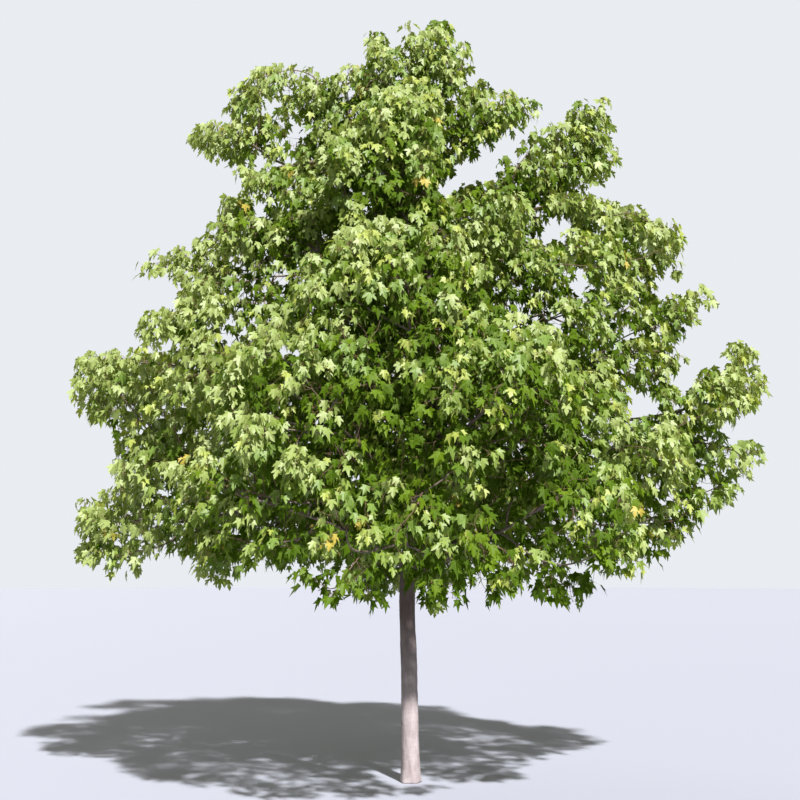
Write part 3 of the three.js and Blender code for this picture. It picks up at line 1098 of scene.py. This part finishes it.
def skin(line, radii, along, sides, across, seed):
    """Rings of points round a line, the ways out from it, and each point's place in the bark's grain."""
    way = unit(np.gradient(line, axis=0))
    first = unit(across - (way @ across)[:, None] * way)
    second = np.cross(way, first)
    turn = np.linspace(0, 2 * math.pi, sides, endpoint=False)
    out = np.cos(turn)[None, :, None] * first[:, None] + np.sin(turn)[None, :, None] * second[:, None]
    points = line[:, None] + radii[:, None, None] * out
    grain = np.empty(points.shape)
    shift_x, shift_y = GRAIN_SHIFT
    grain[..., 0] = radii[:, None] * np.cos(turn) + shift_x * seed
    grain[..., 1] = radii[:, None] * np.sin(turn) + shift_y * seed
    grain[..., 2] = along[:, None]
    return points, out, grain


def gap_to(points, line, radii):
    """How far each point is outside a limb."""
    nearest = np.full(points.shape[:-1], 9.0)
    for a, b, ra, rb in zip(line[:-1], line[1:], radii[:-1], radii[1:]):
        span = b - a
        share = np.clip(((points - a) @ span) / (span @ span), 0, 1)
        gap = np.linalg.norm(points - a - share[..., None] * span, axis=-1)
        nearest = np.minimum(nearest, gap - ra - share * (rb - ra))
    return nearest


def blend_out(points, out, others):
    """Swells a skin out where another limb comes close, so that the two meet in a smooth crotch."""
    moved = np.zeros(points.shape[:-1])
    for _ in range(BLEND_STEPS):
        now = points + moved[..., None] * out
        here = moved.copy()
        for line, radii in others:
            gap = gap_to(now, line, radii)
            share = np.clip(CROTCH - np.abs(here - gap), 0, None) / CROTCH
            moved += np.where(gap < CROTCH, share**2 * CROTCH / 4, 0) * 0.5
        moved = np.minimum(moved, MOST_SWELL)
    return points + moved[..., None] * out


def waves(places, seed, count, across, along):
    """A smooth uneven surface, about -1 to 1, with swellings this far apart across and along the grain."""
    rng = np.random.default_rng(seed)
    total = np.zeros(places.shape[:-1])
    for _ in range(count):
        way = rng.normal(size=3)
        pitch = way / np.array([across, across, along])
        total += np.sin(places @ pitch * WAVE_PITCH + rng.uniform(0, 2 * math.pi))
    return total / math.sqrt(count)


def bark_piece(trunk, boughs):
    """The trunk and its boughs in one mesh, with the bark's own relief."""
    near, far = RING_GAPS
    line, radii, along = resampled(*trunk, lambda s: near if s < CLEAR_TRUNK else far)
    limbs = [resampled(bough, girths * HEXAGON, lambda s: BOUGH_RING_GAP) for bough, girths in boughs]
    points, out, grain = skin(line, radii * DECAGON, along, TRUNK_SIDES, np.array([0, 1.0, 0]), 0)
    flare, count, turn = FLARE_LOBES
    lobes = np.cos(count * np.linspace(0, 2 * math.pi, TRUNK_SIDES, endpoint=False) + turn)
    points += out * (flare * np.exp(-along / FLARE_FADE)[:, None] * lobes)[..., None]
    points = blend_out(points, out, [(bough[::3], girths[::3]) for bough, girths, _ in limbs])
    raised = relief(grain, TRUNK_RELIEF, 0)
    for height, bearing, size in OLD_SCARS:
        row = np.abs(along - height).argmin()
        middle = points[row, int(bearing / 360 * TRUNK_SIDES)]
        gap = np.linalg.norm((points - middle) * SCAR_STRETCH, axis=-1) / size
        raised += SCAR_RIM * np.exp(-(gap**2)) - SCAR_PIT * np.exp(-((gap / SCAR_PIT_SIZE) ** 2))
    points += out * raised[..., None]
    points[0, :, 2] = 0.0
    # pale: 1 at the trunk's sunlit foot, down to 0 higher up; the less pale, the more painted shade the
    # bark gets, with some darker tone of its own
    low, high = PALE_TO_SHADE_FADE
    parts = [(points, grain, np.clip((high - points[..., 2]) / (high - low), 0, 1))]
    for seed, (bough, girths, reach) in enumerate(limbs, 1):
        points, out, grain = skin(bough, girths, reach, BOUGH_SIDES, np.array([0, 0, 1.0]), seed)
        points = blend_out(points, out, [(line[::4], radii[::4])])
        points += out * relief(grain, BOUGH_RELIEF, seed)[..., None]
        # the boughs are not pale at all: their bark has the full painted shade
        parts.append((points, grain, np.zeros(points.shape[:2])))
    return joined_rings("bark", parts)


def relief(grain, rows, seed):
    """How far the bark stands out: swellings, and long narrow ridges with furrows between them."""
    total = np.zeros(grain.shape[:-1])
    for height, ridged, first, count, across, along in rows:
        surface = waves(grain, first + seed, count, across, along)
        if ridged:
            surface = 1 - 2 * np.clip(np.abs(surface), 0, 1)
        total += height * surface
    return total


def joined_rings(name, parts):
    """Rings of points, with both ends closed, as one mesh that keeps each point's place in the grain
    and how pale it is, that is how little painted shade its bark gets."""
    points, grains, pales, quads, fans = [], [], [], [], []
    first = 0
    for rings, grain, pale in parts:
        count, sides = rings.shape[:2]
        index = first + np.arange(count * sides).reshape(count, sides)
        after = np.roll(index, -1, axis=1)
        quads.append(np.stack([index[:-1], after[:-1], after[1:], index[1:]], axis=-1).reshape(-1, 4))
        for end, ring, ahead in ((0, after[0], index[0]), (-1, index[-1], after[-1])):
            centre = first + count * sides + (0 if end == 0 else 1)
            fans.append(np.stack([ring, ahead, np.full(sides, centre)], axis=-1))
        points += [rings.reshape(-1, 3), rings[[0, -1]].mean(1)]
        grains += [grain.reshape(-1, 3), grain[[0, -1]].mean(1)]
        pales += [pale.ravel(), pale[[0, -1]].mean(1)]
        first += count * sides + 2
    mesh = bpy.data.meshes.new(name)
    faces = [tuple(face) for block in (*quads, *fans) for face in block.tolist()]
    mesh.from_pydata(np.concatenate(points).tolist(), [], faces)
    carry(mesh, "grain", "FLOAT_VECTOR", np.concatenate(grains))
    carry(mesh, "pale", "FLOAT", np.concatenate(pales))
    mesh.shade_smooth()
    return placed(name, mesh)


# ---------------------------------------------------------------- finishes


def opaque(values):
    """A colour as a node takes it."""
    return (*np.minimum(values, 1.0).tolist(), 1.0)


def colour(red, green, blue):
    """A colour given as 0 to 255 on screen."""
    screen = np.array([red, green, blue]) / 255
    return opaque(np.where(screen <= 0.04045, screen / 12.92, ((screen + 0.055) / 1.055) ** 2.4))


def material(name):
    """A new material and its node tree."""
    made = bpy.data.materials.new(name)
    made.use_nodes = True
    made.node_tree.nodes.clear()
    return made, made.node_tree


def maths(tree, operation, first, second=0.0, third=0.0):
    """The outcome of one sum."""
    return put(tree, "ShaderNodeMath", {0: first, 1: second, 2: third}, operation=operation).outputs[0]


def mix(tree, share, first, second, how="MIX"):
    """The first colour, with a share of the second over it."""
    values = {0: share, 6: first, 7: second}
    return put(tree, "ShaderNodeMix", values, data_type="RGBA", blend_type=how).outputs[2]


def spread(tree, value, low, high, start=0.0, end=1.0, how="LINEAR"):
    """From start, where the value is under low, to end, where it is over high."""
    values = {"Value": value, "From Min": low, "From Max": high, "To Min": start, "To Max": end}
    return put(tree, "ShaderNodeMapRange", values, interpolation_type=how).outputs[0]


def leaf_pattern():
    """A leaf's ribs and side veins and its faint mottling, from its own UV map."""
    outputs = dict.fromkeys(("Ribs", "Veins", "Mottle"), "Float")
    group, given = node_group("ShaderNodeTree", "leaf pattern", {"Place": "Vector"}, outputs)
    across, up, _ = put(group, "ShaderNodeSeparateXYZ", {0: given["Place"]}).outputs
    out = maths(group, "ABSOLUTE", maths(group, "SUBTRACT", across, 0.5))
    nearest = out
    for foot, rise, slant in SIDE_RIBS:
        rib = maths(group, "MULTIPLY", maths(group, "SUBTRACT", up, foot), rise)
        rib = maths(group, "ABSOLUTE", maths(group, "MULTIPLY_ADD", out, slant, rib))
        nearest = maths(group, "MINIMUM", nearest, rib)
    ribs = spread(group, nearest, *RIB_EDGES, 1.0, 0.0, "SMOOTHSTEP")
    slanted = maths(group, "MULTIPLY_ADD", out, VEIN_SLANT, up)
    rows = maths(group, "FRACT", maths(group, "MULTIPLY", slanted, VEIN_ROWS))
    rows = maths(group, "ABSOLUTE", maths(group, "SUBTRACT", rows, 0.5))
    veins = spread(group, rows, *VEIN_EDGES, 1.0, 0.0, "SMOOTHSTEP")
    values = {"Vector": given["Place"], "Scale": 9.0, "Detail": 3.0, "Roughness": 0.6}
    mottle = put(group, "ShaderNodeTexNoise", values).outputs["Fac"]
    put(group, "NodeGroupOutput", {"Ribs": ribs, "Veins": veins, "Mottle": mottle})
    return group


def leaf_finish(name, pattern, upper, gloss):
    """A leaf's finish: lighter ribs, a pale dull underside, and some light let through."""
    made, tree = material(name)
    blade = np.array(upper[:3])
    place = put(tree, "ShaderNodeUVMap", uv_map="OFBake").outputs["UV"]
    marks = put(tree, "ShaderNodeGroup", {"Place": place}, node_tree=pattern).outputs
    top = mix(tree, marks["Mottle"], opaque(blade * MOTTLE_DARK), upper)
    lines = maths(tree, "MULTIPLY", marks["Veins"], VEIN_SHOW)
    lines = maths(tree, "MAXIMUM", lines, maths(tree, "MULTIPLY", marks["Ribs"], RIB_SHOW))
    top = mix(tree, lines, top, opaque(RIB_SHARE * np.array(RIB_COLOUR) + blade * RIB_LIFT))
    under = (1 - UNDERSIDE_SHARE) * blade + UNDERSIDE_SHARE * np.array(UNDERSIDE)
    back = put(tree, "ShaderNodeNewGeometry").outputs["Backfacing"]
    height = maths(tree, "MULTIPLY_ADD", marks["Ribs"], RIB_SINK, marks["Mottle"])
    bump = put(tree, "ShaderNodeBump", {"Height": height, "Strength": 0.25, "Distance": 0.002})
    values = {
        "Base Color": mix(tree, back, top, opaque(under)),
        "Roughness": maths(tree, "MULTIPLY_ADD", marks["Mottle"], 0.2, LEAF_ROUGHNESS),
        "Specular IOR Level": gloss,
        "Normal": bump.outputs[0],
    }
    skin_shader = put(tree, "ShaderNodeBsdfPrincipled", values).outputs[0]
    glow = put(tree, "ShaderNodeBsdfTranslucent", {"Color": opaque(blade * THROUGH_TINT)}).outputs[0]
    both = put(tree, "ShaderNodeMixShader", {0: LET_THROUGH, 1: skin_shader, 2: glow}).outputs[0]
    put(tree, "ShaderNodeOutputMaterial", {"Surface": both})
    return made


def bark_grain():
    """Smooth young bark: long faint furrows, short level lines, and blotches."""
    outputs = dict.fromkeys(("Furrows", "Level lines", "Blotches", "Relief"), "Float")
    inputs = {"Place": "Vector", "Fineness": "Float"}
    group, given = node_group("ShaderNodeTree", "bark grain", inputs, outputs)
    values = {0: given["Place"], "Scale": given["Fineness"]}
    scaled = put(group, "ShaderNodeVectorMath", values, operation="SCALE").outputs[0]

    def stretched(across, along, detail):
        values = {0: scaled, 1: (across, across, along)}
        place = put(group, "ShaderNodeVectorMath", values, operation="MULTIPLY").outputs[0]
        values = {"Vector": place, "Scale": 1.0, "Detail": detail, "Roughness": 0.62}
        return put(group, "ShaderNodeTexNoise", values).outputs["Fac"]

    furrows = stretched(*FURROW_STRETCH)
    lines = maths(group, "SUBTRACT", 1.0, stretched(*LINE_STRETCH))
    lines = spread(group, lines, *LINE_EDGES, 1.0, 0.0, "SMOOTHSTEP")
    blotches = stretched(*BLOTCH_STRETCH)
    height = maths(group, "MULTIPLY_ADD", lines, LINE_SHARE, furrows)
    ends = {"Furrows": furrows, "Level lines": lines, "Blotches": blotches, "Relief": height}
    put(group, "NodeGroupOutput", ends)
    return group


def bark_finish(name, grain, own_grain, fineness, light, dark, blotched):
    """Bark from the grain: its colour darker in the furrows, paler in blotches, and, where the mesh
    carries a grain, darker where it is less pale, as painted shade of the crown with some darker tone of
    its own.
    """
    made, tree = material(name)
    if own_grain:
        place = put(tree, "ShaderNodeAttribute", attribute_name="grain").outputs["Vector"]
    else:
        place = put(tree, "ShaderNodeTexCoord").outputs["Object"]
    marks = put(tree, "ShaderNodeGroup", {"Place": place, "Fineness": fineness}, node_tree=grain).outputs
    base = mix(tree, spread(tree, marks["Furrows"], *FURROW_EDGES), colour(*dark), colour(*light))
    patches = spread(tree, marks["Blotches"], *BLOTCH_EDGES, 0.0, BLOTCH_SHARE)
    base = mix(tree, patches, base, colour(*blotched))
    base = mix(tree, maths(tree, "MULTIPLY", marks["Level lines"], LINE_SHARE), base, colour(*dark))
    if own_grain:
        # painted shade of the crown, with some of the bark's own darker tone: the less pale, the more the
        # colour is multiplied down
        pale = put(tree, "ShaderNodeAttribute", attribute_name="pale").outputs["Fac"]
        base = mix(tree, maths(tree, "SUBTRACT", 1.0, pale), base, UPPER_BARK_SHADE, "MULTIPLY")
    bump = put(tree, "ShaderNodeBump", {"Height": marks["Relief"], "Strength": 0.5, "Distance": 0.003})
    rough = maths(tree, "MULTIPLY_ADD", marks["Furrows"], -0.25, 0.92)
    values = {"Base Color": base, "Roughness": rough, "Normal": bump.outputs[0]}
    shader = put(tree, "ShaderNodeBsdfPrincipled", values)
    put(tree, "ShaderNodeOutputMaterial", {"Surface": shader.outputs[0]})
    return made


# ---------------------------------------------------------------- the tree


def split_runs(wood):
    """The branches' runs, with girths, as limbs, as twigs and as the leafy shoots at their ends."""
    limbs, twigs, tips = [], [], []
    for run in wood.chains():
        radii = wood.radii[run].copy()
        if wood.parents[run[0]] >= 0 or wood.main[run[0]] != run[1]:
            radii[0] = radii[1] * COLLAR
        places = wood.places[run]
        thick = int((radii > LIMB_RADIUS).sum())
        if thick > 1:
            limbs.append((places[:thick], radii[:thick]))
        else:
            thick = 1
        leafy = max(int((np.array(run) < wood.grown).sum()), thick)
        if thick < leafy:
            twigs.append((places[thick - 1 : leafy], radii[thick - 1 : leafy]))
        if leafy < len(run):
            tips.append((places[leafy - 1 :], radii[leafy - 1 :]))
    return limbs, twigs, tips


def growing_places(trunk, boughs):
    """Where growth starts: the ends of the boughs and the top of the leader, with their headings."""
    found = [(line, k) for line, _ in boughs for k in range(-BOUGH_STARTS, 0)]
    leader = trunk[0]
    for height in np.arange(LEADER_FROM, leader[-1, 2], LEADER_GAP):
        found.append((leader, int(np.abs(leader[:, 2] - height).argmin())))
    found.append((leader, -1))
    headings = [unit(line[k] - line[k - 1]) for line, k in found]
    return np.array([line[k] for line, k in found]), np.array(headings)


def deal_tints(leaves, spots, light, rng):
    """Which tint each leaf has: dealt by spray as painted shade and light, darker deep inside and between
    clumps, brighter where it is light and towards the crown's two sides, with some tone at random."""
    order = light.argsort().argsort() / len(light)
    # painted shade is deepest here across the crown, and painted light lifts the tints towards its sides
    aside = np.abs(spots[:, 0] - PAINTED_SHADE_DEEPEST_AT) / CROWN_HALF_WIDTH
    tone = order + SIDE_PAINTED_LIGHT * (aside**2 - SIDE_LEVEL) + rng.normal(0, TINT_SPREAD, len(light))
    edges = np.cumsum([share for _, share, _, _ in TINTS])
    spray_tint = np.searchsorted(edges / edges[-1], np.clip(tone, 0, 0.999), side="right")
    tint = spray_tint[leaves["spray"]]
    young_spray = (rng.random(len(light)) < YOUNG_SHARE) & (order > YOUNG_FROM)
    flush_spray = rng.random(len(light)) < FLUSH_SHARE
    outer = leaves["pair"] <= 1
    tint[young_spray[leaves["spray"]] & outer] = len(TINTS)
    tint[flush_spray[leaves["spray"]] & outer] = len(TINTS) + 1
    return tint


def shape_leaves(leaves, inner, rng):
    """Gives each leaf its three sizes and its shape."""
    count = len(leaves["size"])
    width = rng.normal(*WIDTH, count)
    leaves["size"] = leaves["size"][:, None] * np.stack([width, np.ones(count), width], axis=1)
    shape = rng.integers(0, len(LEAF_SHAPES) - 1, count)
    shape[(leaves["pair"] == 0) & (rng.random(count) < FOLDED_SHARE)] = len(LEAF_SHAPES) - 1
    leaves["size"][inner[leaves["spray"]]] *= INNER_SIZE
    shape[inner[leaves["spray"]]] += len(LEAF_SHAPES)
    leaves["shape"] = shape


rng = np.random.default_rng(SEED)
bough_nodes = sorted(node for node in frame["nodes"] if node.startswith("bough_"))
mass_nodes = sorted(node for node in frame["nodes"] if node.startswith("leaves_"))
trunk = trunk_line()
boughs = [bough_line(node, trunk[0]) for node in bough_nodes]
room = Room(mass_nodes)
spots, light = choose_spots(room, trunk[0], rng)
starts, headings = growing_places(trunk, boughs)
places, parents, home = grow(starts, headings, spots, room, rng)
wood = Wood(places, parents, home, spots, light, rng)

bark_marks = bark_grain()
paints = {name: bark_finish(name, bark_marks, *look) for name, look in BARKS.items()}
bark = bark_piece(trunk, boughs)
bark.data.materials.append(paints["trunk_bark"])
woody = [bark]
stem_rule = tube_tree()
for (name, paint, sides, closed), runs in zip(STEMS, split_runs(wood)):
    values = {"Sides": sides, "Closed ends": closed, "Finish": paints[paint]}
    woody.append(run_nodes(name, line_mesh(name + "_lines", runs), stem_rule, values))

leaves = place_leaves(wood, rng)
inner = wood.light < np.quantile(wood.light, PLAIN_SHARE)
kept = ~inner[leaves["spray"]] | (leaves["pair"] < len(PAIR_SHARES) - 1)
leaves = {key: values[kept] for key, values in leaves.items()}
tint = deal_tints(leaves, wood.spots, wood.light, rng)
values = {"Thickness": STALK_RADIUS, "Finish": paints["stalk_skin"]}
stalks = run_nodes("stalks", stalk_points(leaves), stalk_tree(), values)
shape_leaves(leaves, inner, rng)
shapes = leaf_shapes()
leaf_rule = leaf_tree()
pattern = leaf_pattern()
sprays = []
for index, (name, _, tone, gloss) in enumerate((*TINTS, *YOUNG_TINTS)):
    finish = leaf_finish(name + "_blade", pattern, colour(*tone), gloss)
    mesh = leaf_points(name + "_points", leaves, np.flatnonzero(tint == index))
    sprays.append(run_nodes(name, mesh, leaf_rule, {"Leaf shapes": shapes, "Finish": finish}))
for item in list(shapes.objects):
    blade = item.data
    bpy.data.objects.remove(item)
    bpy.data.meshes.remove(blade)
bpy.data.collections.remove(shapes)

for piece in (*woody, stalks, *sprays):
    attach(piece, "root")
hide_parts("trunk", *bough_nodes)
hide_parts(*mass_nodes)

# ---------------------------------------------------------------- studio


def studio():
    """A pale floor, a high light from the front right, a wide soft one from behind, and an even pale
    surround."""
    scene = bpy.context.scene
    bpy.ops.mesh.primitive_circle_add(vertices=FLOOR_SIDES, radius=FLOOR_RADIUS, fill_type="NGON")
    floor = bpy.context.object
    floor.name = "floor"
    paint, tree = material("floor_paint")
    grit = put(tree, "ShaderNodeTexNoise", {"Scale": 3.0, "Detail": 4.0})
    tone = mix(tree, grit.outputs[0], FLOOR_DARK, FLOOR_LIGHT)
    shader = put(tree, "ShaderNodeBsdfPrincipled", {"Base Color": tone, "Roughness": 0.9})
    put(tree, "ShaderNodeOutputMaterial", {"Surface": shader.outputs[0]})
    floor.data.materials.append(paint)
    for name, source, strength, width in LAMPS:
        light = bpy.data.lights.new(name, "SUN")
        light.energy = strength
        light.angle = math.radians(width)
        light.color = LAMP_COLOUR
        placed(name, light).rotation_euler = (-Vector(source)).to_track_quat("-Z", "Y").to_euler()
    world = bpy.data.worlds.new("surround")
    world.use_nodes = True
    tree = world.node_tree
    tree.nodes.clear()
    seen = put(tree, "ShaderNodeBackground", {"Color": SURROUND, "Strength": SURROUND_SEEN})
    cast = put(tree, "ShaderNodeBackground", {"Color": SKY_FILL, "Strength": FILL_STRENGTH})
    path = put(tree, "ShaderNodeLightPath")
    values = {0: path.outputs["Is Camera Ray"], 1: cast.outputs[0], 2: seen.outputs[0]}
    both = put(tree, "ShaderNodeMixShader", values)
    put(tree, "ShaderNodeOutputWorld", {"Surface": both.outputs[0]})
    scene.world = world
    camera = placed("camera", bpy.data.cameras.new("camera"))
    camera.data.lens = LENS
    camera.data.sensor_width = 36.0
    camera.data.clip_end = 300.0
    camera.location = EYE
    camera.rotation_euler = (math.radians(90 + EYE_TILT), 0, 0)
    scene.camera = camera
    scene.view_settings.view_transform = "Standard"


studio()
